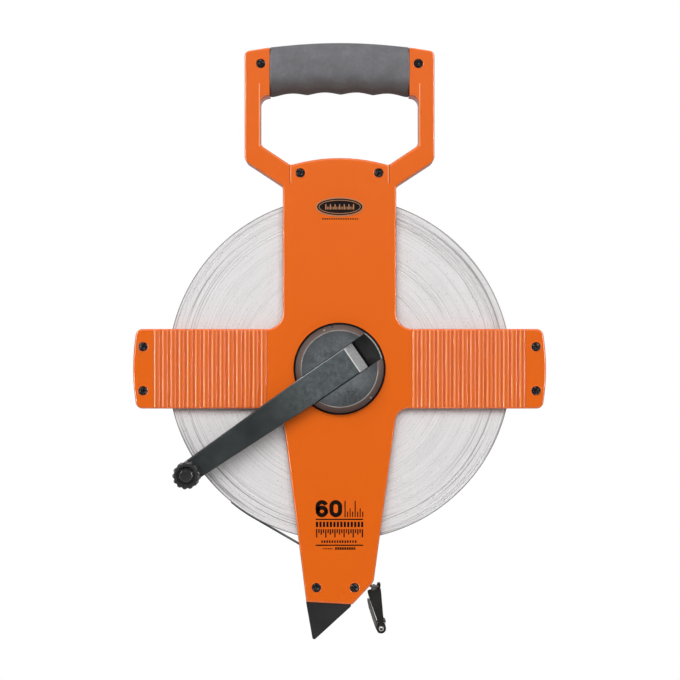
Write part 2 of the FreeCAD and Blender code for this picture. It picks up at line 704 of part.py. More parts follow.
def hook_cover():
    """The moulded cover over the strap, forked at the top for the clip and at the bottom for the claw."""
    body = prism(hook_profile(), -HOOK_HALF_W, HOOK_HALF_W)
    cover = fuse([body, post(*CLAW, COVER_EYE_R, -HOOK_HALF_W, HOOK_HALF_W)])
    cover = cover.cut(post(*LINK, 6.0, -4.6, 4.6)).cut(post(*CLAW, 3.5, -3.4, 3.4))
    cover = cover.cut(post(*LINK, 1.0, -8, 8)).cut(post(*CLAW, CLAW_PIN_R, -8, 8))
    return cover.cut(hook_frame())


def hook_pin():
    return post(*LINK, LINK_R, -HOOK_HALF_W + 0.1, HOOK_HALF_W - 0.1)


def claw_pin():
    """A hollow rivet with a rolled head at each end."""
    head = post(*CLAW, EYELET_HEAD_R, -EYELET_END_Y, -HOOK_HALF_W)
    head = head.makeFillet(0.3, face_edges(head, -EYELET_END_Y, lambda x, z: True))
    shank = post(*CLAW, CLAW_PIN_R, -HOOK_HALF_W, HOOK_HALF_W)
    return fuse([shank, head, to_rear(head)]).cut(post(*CLAW, EYELET_R, -8, 8))


def hook_claw():
    """The folding claw: a leaf along the hook's side, on a barrel that turns on the eyelet pin."""
    barrel = post(*CLAW, 2.6, -3.1, 3.1)
    leaf = [
        (18.0, -151.0, 0.4),
        (18.9, -155.6, 8),
        (22.6, -167.1, 2),
        (23.7, -170.1, 1.5),
        (25.5, -173.1, 0.5),
        (27.4, -172.1, 0),
        (24.8, -169.1, 0.4),
        (24.5, -165.9, 1),
        (19.5, -151.0, 0.4),
    ]
    narrow = prism(leaf, -3.1, 3.1)
    wide = prism(leaf, -5.6, 5.6).common(block(10, 40, -6, 6, -165.2, -149))
    claw = fuse([barrel, narrow, wide])
    return claw.cut(post(*CLAW, CLAW_PIN_R + RUNNING_FIT, -8, 8))


NODES = {
    "front_frame_shell": front_frame_shell,
    "rear_frame_shell": rear_frame_shell,
    "front_grip": grip_half,
    "rear_grip": lambda: to_rear(grip_half()),
    "frame_screws": lambda: group([frame_screw(x, z) for x, z in SCREWS + FOOT_SCREWS]),
    "ground_spike": ground_spike,
    "oval_badge": lambda: badge_plate(-SHELL_Y - 0.4, -SHELL_Y + 0.6),
    "front_bearing_ring": front_bearing_ring,
    "rear_bearing_ring": rear_bearing_ring,
    "roller_pins": roller_pins,
    "upper_guide_roller": lambda: guide_roller(1),
    "lower_guide_roller": lambda: guide_roller(-1),
    "blade_run": blade_run,
    "spool_drum": spool_drum,
    "blade_anchor": blade_anchor,
    "blade_roll": blade_roll,
    "crank_hub": crank_hub,
    "hub_screws": hub_screws,
    "rear_hub_cap": rear_hub_cap,
    "crank_hinge_pin": crank_hinge_pin,
    "hinge_washers": hinge_washers,
    "crank_arm": crank_arm,
    "knob_spindle": knob_spindle,
    "crank_knob": crank_knob,
    "knob_cap": knob_cap,
    "blade_end": blade_end,
    "blade_clip": blade_clip,
    "end_bumper": end_bumper,
    "hook_frame": hook_frame,
    "hook_cover": hook_cover,
    "hook_pin": hook_pin,
    "claw_pin": claw_pin,
    "hook_claw": hook_claw,
}


def main():
    os.makedirs("parts", exist_ok=True)
    for name, make in NODES.items():
        shape = make()
        shape.translate(Vector(0, 0, -GRIP_CENTRE_Z))
        print(name, "solids", len(shape.Solids), "valid", shape.isValid(), "volume", round(shape.Volume, 1))
        shape.exportStep(f"parts/{name}.step")


main()
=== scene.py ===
import json
import math
import random

import bmesh
import bpy
from mathutils import Matrix, Vector


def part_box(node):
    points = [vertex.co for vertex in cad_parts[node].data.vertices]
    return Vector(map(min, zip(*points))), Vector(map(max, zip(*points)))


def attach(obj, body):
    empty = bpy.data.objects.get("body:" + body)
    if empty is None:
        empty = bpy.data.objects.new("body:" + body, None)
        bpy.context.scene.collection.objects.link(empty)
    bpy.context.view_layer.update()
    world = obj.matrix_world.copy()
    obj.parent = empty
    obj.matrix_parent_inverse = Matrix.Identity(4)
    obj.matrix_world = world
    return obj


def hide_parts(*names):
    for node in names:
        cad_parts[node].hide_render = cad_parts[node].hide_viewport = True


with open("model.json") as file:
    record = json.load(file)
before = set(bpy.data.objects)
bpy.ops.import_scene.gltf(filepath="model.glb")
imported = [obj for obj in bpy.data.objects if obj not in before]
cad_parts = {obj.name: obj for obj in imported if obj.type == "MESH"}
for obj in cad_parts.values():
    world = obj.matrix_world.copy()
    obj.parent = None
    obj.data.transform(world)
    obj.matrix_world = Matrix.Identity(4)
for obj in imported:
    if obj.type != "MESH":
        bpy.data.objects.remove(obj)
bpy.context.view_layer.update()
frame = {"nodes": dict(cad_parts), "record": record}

# A surveyor's open-reel tape: an orange frame round a white roll of tape, with a folding crank.
# Sizes below are in millimetres about the reel's axis, as in the CAD, unless they are read from the frame.
MM = 0.001
ROLL_LOW, ROLL_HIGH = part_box("blade_roll")
AXIS_Z = 0.5 * (ROLL_LOW.z + ROLL_HIGH.z)
ROLL_R = 0.5 * (ROLL_HIGH.x - ROLL_LOW.x) / MM
ROLL_Y = ROLL_HIGH.y / MM
DRUM_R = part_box("spool_drum")[1].x / MM
SHELL_Y = -12.0
RIB_FIRST_X = 49.3          # the middle of the first rib of each arm
RIB_PITCH = 5.34
RIB_ZONE_X = (46.5, 121.5)
RIB_ZONE_HALF_H = 24.9
SLOT_ANGLE = math.radians(34.4)


def at(x, y, z):
    """A point given in millimetres about the reel's axis, in the row frame."""
    return Vector((x * MM, y * MM, AXIS_Z + z * MM))


# ---- materials ----
class Surface:
    """A principled material whose nodes read the object's own coordinates."""

    def __init__(self, name, colour, roughness, metallic=0.0, specular=0.5):
        self.material = bpy.data.materials.new(name)
        self.material.use_nodes = True
        self.tree = self.material.node_tree
        self.shader = self.tree.nodes["Principled BSDF"]
        self.colour = (*colour, 1)
        self.shader.inputs["Base Color"].default_value = self.colour
        self.shader.inputs["Roughness"].default_value = roughness
        self.shader.inputs["Metallic"].default_value = metallic
        self.shader.inputs["Specular IOR Level"].default_value = specular
        self.place = self.tree.nodes.new("ShaderNodeTexCoord").outputs["Object"]
        self.heights = []

    def join(self, source, target):
        self.tree.links.new(source, target)

    def noise(self, scale, detail=2.0, vector=None, rough=0.55):
        made = self.tree.nodes.new("ShaderNodeTexNoise")
        made.inputs["Scale"].default_value = scale
        made.inputs["Detail"].default_value = detail
        made.inputs["Roughness"].default_value = rough
        self.join(vector or self.place, made.inputs["Vector"])
        return made.outputs["Fac"]

    def ranged(self, source, low, high, to_low, to_high):
        made = self.tree.nodes.new("ShaderNodeMapRange")
        for name, value in zip(("From Min", "From Max", "To Min", "To Max"), (low, high, to_low, to_high)):
            made.inputs[name].default_value = value
        self.join(source, made.inputs["Value"])
        return made.outputs["Result"]

    def band(self, source, low, low_full, high_full, high):
        """One between two values and nought outside them, with soft sides."""
        rise = self.ranged(source, low, low_full, 0, 1)
        return self.maths("MULTIPLY", rise, self.ranged(source, high_full, high, 1, 0))

    def maths(self, operation, first, second):
        made = self.tree.nodes.new("ShaderNodeMath")
        made.operation = operation
        for socket, value in zip(made.inputs, (first, second)):
            if isinstance(value, (int, float)):
                socket.default_value = value
            else:
                self.join(value, socket)
        return made.outputs["Value"]

    def mixed(self, factor, first, second):
        """A colour between two, which are colours or sockets."""
        made = self.tree.nodes.new("ShaderNodeMix")
        made.data_type = "RGBA"
        self.join(factor, made.inputs["Factor"])
        for socket, value in ((made.inputs[6], first), (made.inputs[7], second)):
            if isinstance(value, bpy.types.NodeSocket):
                self.join(value, socket)
            else:
                socket.default_value = value
        return made.outputs[2]

    def shaded(self, share):
        """The material's own colour, made darker or lighter by a share."""
        return tuple(min(1.0, c * share) for c in self.colour[:3]) + (1,)

    def mottle(self, scale, low_share, high_share, detail=3.0):
        """Slow changes of colour over the surface."""
        factor = self.ranged(self.noise(scale, detail), 0.3, 0.7, 0, 1)
        self.join(self.mixed(factor, self.shaded(low_share), self.shaded(high_share)),
                  self.shader.inputs["Base Color"])

    def rough_patches(self, scale, low, high):
        self.join(self.ranged(self.noise(scale, 4.0), 0.3, 0.7, low, high), self.shader.inputs["Roughness"])

    def bump(self, height, distance, strength=1.0):
        made = self.tree.nodes.new("ShaderNodeBump")
        made.inputs["Strength"].default_value = strength
        made.inputs["Distance"].default_value = distance
        self.join(height, made.inputs["Height"])
        if self.heights:
            self.join(self.heights[-1], made.inputs["Normal"])
        self.heights.append(made.outputs["Normal"])
        self.join(made.outputs["Normal"], self.shader.inputs["Normal"])


def moulded_plastic(name, colour, roughness, grain=2600, depth=0.00002, mottle=(0.94, 1.05), specular=0.5,
                    patchy=0.05):
    """Injection-moulded plastic: a fine spark-eroded grain and a little unevenness in colour and gloss."""
    made = Surface(name, colour, roughness, specular=specular)
    made.mottle(45, *mottle)
    made.rough_patches(130, roughness - patchy, roughness + patchy)
    made.bump(made.noise(grain, 2.0), depth)
    return made.material


def orange_material():
    """The frame's glossy orange, with painted highlights along its edges and painted light and shade banded
    across the ribs as if lit from the left.
    """
    made = Surface("orange_plastic", ORANGE, 0.19)
    parts = made.tree.nodes.new("ShaderNodeSeparateXYZ")
    made.join(made.place, parts.inputs["Vector"])
    x, y = parts.outputs["X"], parts.outputs["Y"]
    height = made.maths("ABSOLUTE", made.maths("SUBTRACT", parts.outputs["Z"], AXIS_Z), 0)
    reach = made.maths("ABSOLUTE", x, 0)
    cloud = made.ranged(made.noise(45, 3.0), 0.3, 0.7, 0, 1)
    plain = made.mixed(cloud, made.shaded(0.99), made.shaded(1.01))
    # Painted highlights: pale lines on the fillets, found by their depth: the body's, and those of the
    # thicker arms.
    body_edge_highlight = made.band(y, -0.01190, -0.01182, -0.01150, -0.01125)
    arm_edge_highlight = made.band(y, -0.01280, -0.01272, -0.01240, -0.01215)
    strength = made.ranged(made.noise(240, 3.0), 0.3, 0.6, 0.25, 0.6)
    edge = made.maths("MULTIPLY", made.maths("ADD", body_edge_highlight, arm_edge_highlight), strength)
    edge_highlit = made.mixed(edge, plain, (0.86, 0.25, 0.10, 1))
    # Painted light and shade across each rib, as if lit from the left: a pale highlight on the left side of
    # each rib, and painted shade along its middle and in the grooves. The phase runs from nought to one over
    # a pitch, and a rib's middle is at a half.
    start = made.maths("MULTIPLY", made.maths("SIGN", x, 0), RIB_FIRST_X * MM)
    steps = made.maths("DIVIDE", made.maths("SUBTRACT", x, start), RIB_PITCH * MM)
    phase = made.maths("FRACT", made.maths("ADD", steps, 100.5), 0)
    shoulder_highlight = made.band(phase, 0.17, 0.24, 0.34, 0.41)
    middle = made.band(phase, 0.42, 0.47, 0.53, 0.58)
    off_middle = made.maths("ABSOLUTE", made.maths("SUBTRACT", phase, 0.5), 0)
    groove = made.ranged(off_middle, 0.39, 0.45, 0, 1)
    uneven = made.ranged(made.noise(90, 3.0), 0.3, 0.7, 0.6, 1.0)
    # Painted shade along each rib's middle and in the grooves between ribs.
    dark = made.maths("MULTIPLY", made.maths("ADD", middle, groove), uneven)
    banded = made.mixed(dark, (0.73, 0.150, 0.030, 1), (0.50, 0.088, 0.008, 1))
    # Painted highlight on the left side of each rib.
    banded = made.mixed(made.maths("MULTIPLY", shoulder_highlight, uneven), banded, (0.85, 0.255, 0.062, 1))
    inner, outer = (edge_x * MM for edge_x in RIB_ZONE_X)
    soft = 0.3 * MM
    across = made.band(reach, inner, inner + soft, outer - soft, outer)
    level = made.ranged(height, (RIB_ZONE_HALF_H - 0.2) * MM, (RIB_ZONE_HALF_H + 0.2) * MM, 1, 0)
    in_front = made.ranged(y, -0.0119, -0.0116, 1, 0)
    zone = made.maths("MULTIPLY", across, made.maths("MULTIPLY", level, in_front))
    made.join(made.mixed(zone, edge_highlit, banded), made.shader.inputs["Base Color"])
    made.rough_patches(130, 0.175, 0.205)
    made.bump(made.noise(3400, 2.0), 0.000004)
    return made.material


def screw_material():
    """Blacked steel screws with pale specks, which are painted highlights standing in for glints."""
    made = Surface("black_screw", (0.006, 0.006, 0.007), 0.3, specular=0.4)
    # Pale specks: painted highlights standing in for glints.
    specks = made.ranged(made.noise(900, 2.0), 0.56, 0.68, 0, 1)
    made.join(made.mixed(specks, made.colour, (0.17, 0.155, 0.15, 1)), made.shader.inputs["Base Color"])
    made.rough_patches(900, 0.22, 0.4)
    made.bump(made.noise(1500, 2.0), 0.00001)
    return made.material


def steel(name, colour, roughness, streak=(300, 300, 2500), depth=0.00001):
    """Brushed or rolled steel with fine streaks."""
    made = Surface(name, colour, roughness, metallic=1.0)
    stretch = made.tree.nodes.new("ShaderNodeMapping")
    stretch.inputs["Scale"].default_value = streak
    made.join(made.place, stretch.inputs["Vector"])
    made.mottle(160, 0.85, 1.08)
    made.rough_patches(420, roughness - 0.08, roughness + 0.12)
    made.bump(made.noise(1.0, 3.0, stretch.outputs["Vector"]), depth)
    return made.material


def polar(surface):
    """The radius from the reel's axis in metres, and the angle round it."""
    tree = surface.tree
    shift = tree.nodes.new("ShaderNodeVectorMath")
    shift.operation = "SUBTRACT"
    shift.inputs[1].default_value = (0, 0, AXIS_Z)
    surface.join(surface.place, shift.inputs[0])
    parts = tree.nodes.new("ShaderNodeSeparateXYZ")
    surface.join(shift.outputs["Vector"], parts.inputs["Vector"])
    flat = tree.nodes.new("ShaderNodeCombineXYZ")
    surface.join(parts.outputs["X"], flat.inputs["X"])
    surface.join(parts.outputs["Z"], flat.inputs["Z"])
    length = tree.nodes.new("ShaderNodeVectorMath")
    length.operation = "LENGTH"
    surface.join(flat.outputs["Vector"], length.inputs[0])
    angle = surface.maths("ARCTAN2", parts.outputs["Z"], parts.outputs["X"])
    return length.outputs["Value"], angle


def in_polar(surface, radius, angle, radial, round_about):
    """Coordinates with so many units per metre outwards and per radian round the reel."""
    made = surface.tree.nodes.new("ShaderNodeCombineXYZ")
    surface.join(surface.maths("MULTIPLY", radius, radial), made.inputs["X"])
    surface.join(surface.maths("MULTIPLY", angle, round_about), made.inputs["Y"])
    return made.outputs["Vector"]


def roll_edge_material():
    """The wound tape seen from its side: hundreds of pale edges, slightly soiled, with dark specks, and thin
    dark arcs of painted shade where the layers part.
    """
    made = Surface("roll_edges", (0.675, 0.662, 0.668), 0.55, specular=0.3)
    radius, angle = polar(made)
    fine = made.noise(1.0, 3.0, in_polar(made, radius, angle, 2300, 0.8))
    broad = made.noise(1.0, 2.0, in_polar(made, radius, angle, 420, 0.9))
    lines = made.noise(1.0, 1.0, in_polar(made, radius, angle, 1150, 1.0), 0.3)
    streaks = made.noise(1.0, 2.0, in_polar(made, radius, angle, 1500, 5))
    rings = made.mixed(made.ranged(fine, 0.3, 0.7, 0, 1), made.shaded(0.91), made.shaded(1.07))
    banded = made.mixed(made.ranged(broad, 0.4, 0.75, 0.0, 0.3), rings, made.shaded(0.82))
    outwards = made.ranged(radius, 0.094, 0.104, 0.18, 0.85)
    # Painted shade: thin dark arcs where the layers part, stronger towards the outside.
    gap_shade = made.maths("MULTIPLY", made.ranged(lines, 0.585, 0.64, 0, 1), outwards)
    lined = made.mixed(gap_shade, banded, made.shaded(0.42))
    # More dark arcs round the roll, also painted shade.
    varied = made.mixed(made.ranged(streaks, 0.55, 0.76, 0.0, 0.4), lined, made.shaded(0.66))
    specks = made.noise(1.0, 1.0, in_polar(made, radius, angle, 1500, 60), 0.4)
    dirty = made.mixed(made.ranged(specks, 0.68, 0.74, 0, 0.75), varied, made.shaded(0.32))
    rim = made.mixed(made.ranged(radius, 0.11125, 0.1115, 0.0, 1.0), dirty, made.shaded(0.30))
    made.join(rim, made.shader.inputs["Base Color"])
    made.bump(fine, 0.00007, 0.9)
    return made.material


def tape_face_material():
    """The tape's flat face on the outside of the roll, with plain printed graduations."""
    made = Surface("tape_face", (0.74, 0.72, 0.68), 0.32)
    _, angle = polar(made)
    turn = made.maths("MULTIPLY", angle, ROLL_R / 10)
    place_in_step = made.maths("FRACT", turn, 0)
    on_tick = made.maths("LESS_THAN", place_in_step, 0.07)
    parts = made.tree.nodes.new("ShaderNodeSeparateXYZ")
    made.join(made.place, parts.inputs["Vector"])
    near_edge = made.maths("LESS_THAN", parts.outputs["Y"], -0.0012)
    inked = made.maths("MULTIPLY", on_tick, near_edge)
    made.join(made.mixed(inked, made.colour, (0.02, 0.02, 0.02, 1)), made.shader.inputs["Base Color"])
    made.rough_patches(300, 0.26, 0.42)
    return made.material


def grip_material():
    """Soft grey rubber with a pebbled grain and worn, uneven patches, and painted shade along its underside.
    """
    made = Surface("grip_rubber", (0.125, 0.124, 0.135), 0.58, specular=0.35)
    slow = made.ranged(made.noise(95, 4.0), 0.3, 0.7, 0, 1)
    fine = made.ranged(made.noise(420, 3.0), 0.35, 0.7, 0, 1)
    varied = made.mixed(slow, made.shaded(0.84), made.shaded(1.12))
    grained = made.mixed(made.maths("MULTIPLY", fine, 0.3), varied, made.shaded(0.6))
    parts = made.tree.nodes.new("ShaderNodeSeparateXYZ")
    made.join(made.place, parts.inputs["Vector"])
    # Painted shade: darker along the grip's underside, with a ragged edge.
    wander = made.ranged(made.noise(120, 4.0), 0.3, 0.7, -0.0015, 0.0015)
    ragged = made.maths("ADD", parts.outputs["Z"], wander)
    underside_shade = made.ranged(ragged, -0.0050, -0.0095, 0, 0.75)
    made.join(made.mixed(underside_shade, grained, (0.075, 0.066, 0.062, 1)), made.shader.inputs["Base Color"])
    made.rough_patches(160, 0.5, 0.66)
    made.bump(made.noise(1400, 3.0), 0.00010)
    return made.material


def crank_material():
    """The crank's plastic: near black, handled grey and scuffed where it lies in the hub, with painted light
    on the bevelled end of its root and painted highlights along that end's edge and along the arm's upper
    edge inside the hub.
    """
    made = Surface("crank_plastic", (0.022, 0.026, 0.027), 0.40, specular=0.35)
    radius, _ = polar(made)
    patches = made.mixed(made.ranged(made.noise(70, 3.0), 0.3, 0.7, 0, 1), made.shaded(0.8), made.shaded(1.3))
    mottled = made.ranged(made.noise(330, 5.0), 0.35, 0.7, 0, 1)
    scuffs = made.mixed(mottled, made.shaded(2.3), made.shaded(4.2))
    handled = made.mixed(made.ranged(radius, 0.022, 0.055, 0, 1), scuffs, patches)
    along = made.tree.nodes.new("ShaderNodeVectorMath")
    along.operation = "DOT_PRODUCT"
    along.inputs[1].default_value = (math.cos(SLOT_ANGLE), 0, math.sin(SLOT_ANGLE))
    made.join(made.place, along.inputs[0])
    reach = made.maths("SUBTRACT", along.outputs["Value"], AXIS_Z * math.sin(SLOT_ANGLE))
    # Painted highlight: a pale line where the arm's face meets the bevelled end of its root.
    with_ramp_edge_highlight = made.mixed(made.ranged(reach, 0.0094, 0.0097, 0, 1), handled, (0.62, 0.63, 0.64, 1))
    # Painted light: the bevelled end of the root made pale grey, as if lit.
    grey = made.ranged(made.noise(900, 3.0), 0.3, 0.7, 0, 1)
    ramp_light = made.mixed(grey, (0.21, 0.215, 0.22, 1), (0.33, 0.335, 0.34, 1))
    with_ramp_light = made.mixed(made.ranged(reach, 0.0100, 0.0104, 0, 1), with_ramp_edge_highlight, ramp_light)
    # Painted highlight along the arm's upper edge near the hub.
    beside = made.tree.nodes.new("ShaderNodeVectorMath")
    beside.operation = "DOT_PRODUCT"
    beside.inputs[1].default_value = (-math.sin(SLOT_ANGLE), 0, math.cos(SLOT_ANGLE))
    made.join(made.place, beside.inputs[0])
    across = made.maths("SUBTRACT", beside.outputs["Value"], AXIS_Z * math.cos(SLOT_ANGLE))
    near_hub = made.ranged(radius, 0.024, 0.032, 1, 0.1)
    upper_edge_highlight = made.maths("MULTIPLY", made.ranged(across, 0.0088, 0.0092, 0, 1), near_hub)
    made.join(made.mixed(upper_edge_highlight, with_ramp_light, (0.55, 0.56, 0.57, 1)), made.shader.inputs["Base Color"])
    made.rough_patches(150, 0.30, 0.44)
    made.bump(made.noise(1500, 2.0), 0.00004)
    return made.material


def hub_material():
    """The hub's plastic: a coarse matt grain with pale rubbed blotches, a brownish painted reflection on its
    bevel, painted shade deep in its slot and a painted highlight on the rim at the slot's end.
    """
    made = Surface("hub_plastic", (0.066, 0.074, 0.079), 0.46, specular=0.45)
    slow = made.ranged(made.noise(60, 4.0), 0.36, 0.66, 0, 1)
    fine = made.ranged(made.noise(700, 3.0), 0.42, 0.68, 0, 1)
    clouds = made.mixed(slow, made.shaded(0.5), made.shaded(1.45))
    speckled = made.mixed(made.maths("MULTIPLY", fine, 0.4), clouds, made.shaded(2.2))
    parts = made.tree.nodes.new("ShaderNodeSeparateXYZ")
    made.join(made.place, parts.inputs["Vector"])
    radius, _ = polar(made)
    face = made.mixed(made.ranged(radius, 0.014, 0.026, 0, 0.75), speckled, made.shaded(0.4))
    # Painted reflection: the bevel brownish, paler at its inner edge.
    outwards = made.ranged(radius, 0.0252, 0.0288, 0, 1)
    ring = made.mixed(outwards, (0.10, 0.078, 0.070, 1), (0.045, 0.030, 0.026, 1))
    bevelled = made.mixed(made.ranged(radius, 0.0244, 0.0248, 0, 1), face, ring)
    # Painted shade: near black deep in the slot, and a painted highlight on the rim at the slot's end.
    deep = made.ranged(parts.outputs["Y"], -0.0160, -0.0140, 0, 1)
    lip_highlight = made.band(radius, 0.0276, 0.0279, 0.0284, 0.0287)
    end = made.mixed(lip_highlight, (0.006, 0.006, 0.006, 1), (0.30, 0.29, 0.28, 1))
    made.join(made.mixed(deep, bevelled, end), made.shader.inputs["Base Color"])
    made.rough_patches(240, 0.38, 0.56)
    made.bump(made.noise(1300, 3.0), 0.00007)
    return made.material


ORANGE = (0.72, 0.122, 0.006)
MATERIALS = {
    "orange_plastic": orange_material(),
    # Painted highlight and painted shade, for the lines at the handle's seams and window.
    "pale_orange": moulded_plastic("pale_orange", (0.86, 0.29, 0.11), 0.3, 3400, 0.000004, (0.95, 1.05)),
    "dark_orange": moulded_plastic("dark_orange", (0.38, 0.055, 0.004), 0.3, 3400, 0.000004, (0.9, 1.1)),
    "grip_rubber": grip_material(),
    "black_screw": screw_material(),
    "black_plastic": moulded_plastic(
        "black_plastic", (0.014, 0.014, 0.015), 0.42, 1800, 0.00003, (0.7, 1.5), 0.25),
    "badge": moulded_plastic("badge", (0.42, 0.17, 0.07), 0.4, 2600, 0.00001),
    "bearing_plastic": moulded_plastic("bearing_plastic", (0.008, 0.008, 0.009), 0.5, specular=0.2),
    "drum_plastic": moulded_plastic("drum_plastic", (0.55, 0.55, 0.54), 0.45),
    "hub_plastic": hub_material(),
    "crank_plastic": crank_material(),
    "knob_plastic": moulded_plastic(
        "knob_plastic", (0.020, 0.020, 0.021), 0.28, 1800, 0.00003, (0.7, 1.5), 0.4),
    "washer_plastic": moulded_plastic("washer_plastic", (0.02, 0.02, 0.02), 0.4, specular=0.2),
    "roller_plastic": moulded_plastic("roller_plastic", (0.6, 0.6, 0.6), 0.35),
    "blade_coating": moulded_plastic(
        "blade_coating", (0.012, 0.012, 0.014), 0.34, 900, 0.00001, (0.8, 1.4), 0.4),
    "hook_rubber": moulded_plastic(
        "hook_rubber", (0.009, 0.009, 0.008), 0.45, 2400, 0.00004, (0.7, 1.8), 0.25),
    "pin_steel": steel("pin_steel", (0.55, 0.55, 0.56), 0.28),
    "hook_steel": steel("hook_steel", (0.33, 0.315, 0.30), 0.36, depth=0.000002),
    "bare_steel": moulded_plastic("bare_steel", (0.56, 0.53, 0.50), 0.35, 1500, 0.00001, (0.85, 1.1)),
    "roll_edges": roll_edge_material(),
    "tape_face": tape_face_material(),
    "black_print": moulded_plastic(
        "black_print", (0.006, 0.0025, 0.001), 0.6, 3000, 0.000005, (0.8, 1.5), 0.05),
    "badge_black": moulded_plastic("badge_black", (0.008, 0.006, 0.006), 0.35, 3000, 0.000005, specular=0.12),
    # Pale grey on the hub's beads, a painted highlight; the pips take it too.
    "hub_line": moulded_plastic("hub_line", (0.24, 0.215, 0.20), 0.3, 1500, 0.00001, (0.8, 1.2)),
    "badge_line": moulded_plastic("badge_line", (0.50, 0.22, 0.10), 0.35, 3000, 0.000005),
}


def dress_cad_nodes():
    """Every CAD node takes the material of its own slot."""
    for part in frame["record"]["subparts"]:
        mesh = frame["nodes"][part["node"]].data
        for i in range(len(mesh.materials)):
            mesh.materials[i] = MATERIALS[part["material_slot"]]


# ---- mesh helpers ----
def add_piece(name, mesh, body, materials, replaces=(), smooth=None):
    """Links a mesh as a piece that rides on a body; smooth is the angle up to which faces blend."""
    for material in materials:
        mesh.materials.append(MATERIALS[material])
    piece = bpy.data.objects.new(name, mesh)
    bpy.context.scene.collection.objects.link(piece)
    if smooth is not None:
        mesh.shade_smooth()
        mesh.set_sharp_from_angle(angle=math.radians(smooth))
    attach(piece, body)
    if replaces:
        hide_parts(*replaces)
    return piece


def loft(name, rings, caps=True, closed=False):
    """A skin through rings of points; closed joins the last ring to the first."""
    made = bmesh.new()
    rows = [[made.verts.new(point) for point in ring] for ring in rings]
    pairs = list(zip(rows, rows[1:])) + ([(rows[-1], rows[0])] if closed else [])
    for first, second in pairs:
        for i, vertex in enumerate(first):
            j = (i + 1) % len(first)
            made.faces.new((vertex, first[j], second[j], second[i]))
    if caps and not closed:
        made.faces.new(list(reversed(rows[0])))
        made.faces.new(rows[-1])
    bmesh.ops.recalc_face_normals(made, faces=made.faces)
    mesh = bpy.data.meshes.new(name)
    made.to_mesh(mesh)
    made.free()
    return mesh


def plate(name, outlines, y, thickness, bevel=0.0):
    """Flat shapes in the XZ plane, thickness deep from y towards the front, with a small bevel."""
    made = bmesh.new()
    for outline in outlines:
        front = [made.verts.new(at(x, y - thickness, z)) for x, z in outline]
        back = [made.verts.new(at(x, y, z)) for x, z in outline]
        face = made.faces.new(front)
        made.faces.new(list(reversed(back)))
        count = len(front)
        for i in range(count):
            made.faces.new((front[i], front[(i + 1) % count], back[(i + 1) % count], back[i]))
        if bevel:
            rim = list(face.edges)
            bmesh.ops.bevel(made, geom=rim, offset=bevel * MM, segments=2, affect="EDGES")
    bmesh.ops.recalc_face_normals(made, faces=made.faces)
    mesh = bpy.data.meshes.new(name)
    made.to_mesh(mesh)
    made.free()
    return mesh


def rectangle(x0, x1, z0, z1):
    return [(x0, z0), (x1, z0), (x1, z1), (x0, z1)]


def ellipse(cx, cz, half_x, half_z, count=96):
    angles = [2 * math.pi * i / count for i in range(count)]
    return [(cx + half_x * math.cos(a), cz + half_z * math.sin(a)) for a in angles]


def torus(name, x, y, z, radius, half_width, half_depth):
    """A rounded ring about an axis along Y."""
    rings = []
    for k in range(12):
        turn = 2 * math.pi * k / 12
        r = radius + half_width * math.cos(turn)
        rings.append([at(px, y + half_depth * math.sin(turn), pz) for px, pz in ellipse(x, z, r, r, 48)])
    return loft(name, rings, closed=True)


# ---- rubber grip ----
GRIP_HALF_L = 45.5
GRIP_HALF_DEPTH = 13.5
GRIP_RIDGES = [-43.0, -20.9, 0.8, 21.9, 43.0]
GRIP_ROUNDNESS = 3.3


def grip_top(x):
    """A crown of 340 mm radius that runs out into straight shoulders."""
    if abs(x) < 34.2:
        return 212.75 - (340 - math.sqrt(340 ** 2 - x ** 2))
    return 214.5 - 0.1011 * abs(x)


def grip_bottom(x):
    """Four finger grooves between five soft ridges."""
    lowest = 178.1 + 1.5 * (1 - (x / 43.0) ** 2)
    for start, end in zip(GRIP_RIDGES, GRIP_RIDGES[1:]):
        if start <= x <= end:
            share = (x - start) / (end - start)
            return lowest + 1.5 * (math.sin(math.pi * share) ** 2) ** 0.62
    return lowest


def grip_section(x, side, inset):
    """Half of a squarish oval, from the seam below round the side to the seam above."""
    low, high = grip_bottom(x) + inset, grip_top(x) - inset
    middle, half = 0.5 * (low + high), 0.5 * (high - low)
    depth = GRIP_HALF_DEPTH - inset
    knee, foot = middle - 4.5, low
    points = [at(x, side * 0.12, low + 0.35)]
    steps = 36
    for i in range(steps + 1):
        t = -math.pi / 2 + math.pi * (0.012 + 0.976 * i / steps)
        y = depth * abs(math.cos(t)) ** (2 / GRIP_ROUNDNESS)
        z = middle + half * math.copysign(abs(math.sin(t)) ** (2 / GRIP_ROUNDNESS), math.sin(t))
        y *= 1 - 0.17 * max(0.0, (knee - z) / (knee - foot)) ** 1.15
        points.append(at(x, side * max(y, 0.4), z))
    points.append(at(x, side * 0.12, high - 0.35))
    return points


def make_grip():
    rounding = ((0.0, 1.0), (0.12, 0.5), (0.45, 0.14), (1.0, 0.0))
    ends = [(GRIP_HALF_L - back, inset) for back, inset in rounding]
    count = 110
    span = GRIP_HALF_L - 1.0
    stations = [(-x, inset) for x, inset in ends[:-1]]
    stations += [(-span + 2 * span * i / count, 0.0) for i in range(count + 1)]
    stations += list(reversed(ends[:-1]))
    for side, name in ((-1, "front"), (1, "rear")):
        rings = [grip_section(x, side, inset) for x, inset in stations]
        mesh = loft(f"{name}_rubber_grip", rings)
        add_piece(f"{name}_rubber_grip", mesh, "frame", ["grip_rubber"], [f"{name}_grip"], 35)


# ---- roll of tape ----
ROLL_RINGS = 170
ROLL_STEPS = 360
